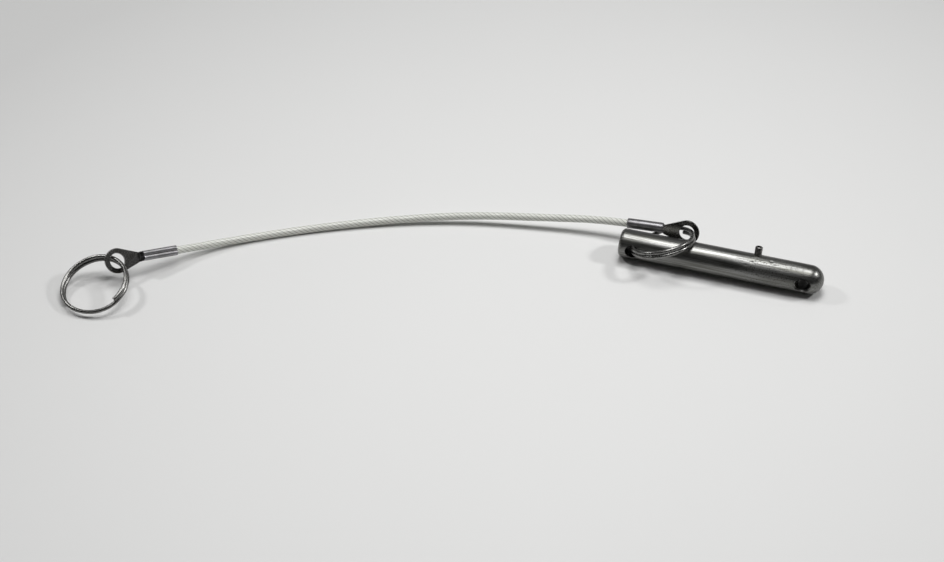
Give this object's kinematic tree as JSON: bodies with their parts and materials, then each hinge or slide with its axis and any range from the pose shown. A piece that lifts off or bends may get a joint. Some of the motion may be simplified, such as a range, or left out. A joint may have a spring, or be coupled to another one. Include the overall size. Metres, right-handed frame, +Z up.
{
  "type": "tethered retaining pin",
  "caption": "Dome-nosed steel retaining pin with a cross-drilled nose and a spring-pin stop, held by split rings to a jacketed wire-rope lanyard with crimped eye terminals",
  "frame": {"origin": "on the surface that the pin lies on, under the middle of the shank and of the head ring", "axes": "+X along the shank from its head end to its domed nose, +Y away from the side that the lanyard's free end lies on, +Z up"},
  "size_m": [0.2334, 0.0912, 0.0131],
  "materials": {
    "pin_steel": "turned bright steel, rubbed and lightly dinged",
    "spring_pin_steel": "dark spring steel",
    "ring_steel": "bright drawn wire",
    "terminal_steel": "pressed sheet, smooth",
    "rope_wire": "twisted galvanised strands",
    "clear_jacket": "clear vinyl, smooth"
  },
  "bodies": {
    "pin": {"pin_shank": "pin_steel", "spring_pin": "spring_pin_steel"},
    "head_ring": {"head_split_ring": "ring_steel"},
    "lanyard": {"pin_end_terminal": "terminal_steel", "lanyard_rope": "rope_wire", "lanyard_jacket": "clear_jacket", "free_end_terminal": "terminal_steel"},
    "anchor_ring": {"anchor_split_ring": "ring_steel"}
  },
  "joints": [
    {"name": "head_ring_swing", "type": "hinge", "parent": "pin", "child": "head_ring", "pos_m": [-0.02865, 0, 0.00476], "axis": [0, -0.9903, 0.1392], "range_deg": [0, 150]},
    {"name": "lanyard_swing", "type": "hinge", "parent": "head_ring", "child": "lanyard", "pos_m": [-0.01323, 0.00769, 0.00765], "axis": [0.0045, 0.9398, -0.3417], "range_deg": [0, 150]},
    {"name": "anchor_ring_swing", "type": "hinge", "parent": "lanyard", "child": "anchor_ring", "pos_m": [-0.18476, -0.05991, 0.00754], "axis": [-0.9144, 0.4032, -0.0353], "range_deg": [0, 165]}
  ]
}
